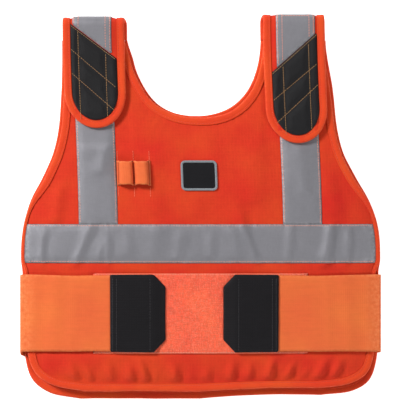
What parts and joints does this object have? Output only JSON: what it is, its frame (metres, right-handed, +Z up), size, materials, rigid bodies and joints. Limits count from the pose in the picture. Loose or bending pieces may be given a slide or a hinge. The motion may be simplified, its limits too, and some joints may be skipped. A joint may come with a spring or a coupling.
{
  "type": "cooling vest",
  "caption": "Pull-over work vest of padded shell cloth with reflective tape, fold-over shoulder straps and wide side elastics that close with hook tabs on a loop panel.",
  "frame": {"origin": "centre of the bounding box, on the ground that the vest lies on", "axes": "+Z up out of the front of the vest, +Y from the hem to the shoulders, +X to the right as the front is seen"},
  "size_m": [0.474, 0.504, 0.0382],
  "materials": {
    "shell_cloth": "padded cotton shell cloth, matte",
    "binding_tape": "folded woven binding, matte",
    "reflective_tape": "silver retroreflective tape, satin",
    "elastic_web": "wide woven elastic, matte",
    "loop_pile": "brushed loop pile, matte",
    "hook_tape": "black hook tape, matte",
    "quilted_black": "stitched black cloth, satin",
    "label_cloth": "plain woven label, matte"
  },
  "bodies": {
    "root": {"back_panel": "shell_cloth", "back_edge_binding": "binding_tape", "back_neck_binding": "binding_tape", "back_waist_tape": "reflective_tape", "front_panel": "shell_cloth", "front_binding": "binding_tape", "front_waist_tape": "reflective_tape", "loop_panel": "loop_pile", "left_front_tape": "reflective_tape", "left_back_tape": "reflective_tape", "left_strap": "shell_cloth", "left_strap_binding": "binding_tape", "left_strap_tape": "reflective_tape", "left_strap_patch": "quilted_black", "left_side_elastic": "elastic_web", "left_hook_tab": "hook_tape", "right_front_tape": "reflective_tape", "right_back_tape": "reflective_tape", "right_strap": "shell_cloth", "right_strap_binding": "binding_tape", "right_strap_tape": "reflective_tape", "right_strap_patch": "quilted_black", "right_side_elastic": "elastic_web", "right_hook_tab": "hook_tape", "pen_loops": "elastic_web", "label": "label_cloth"}
  },
  "joints": []
}
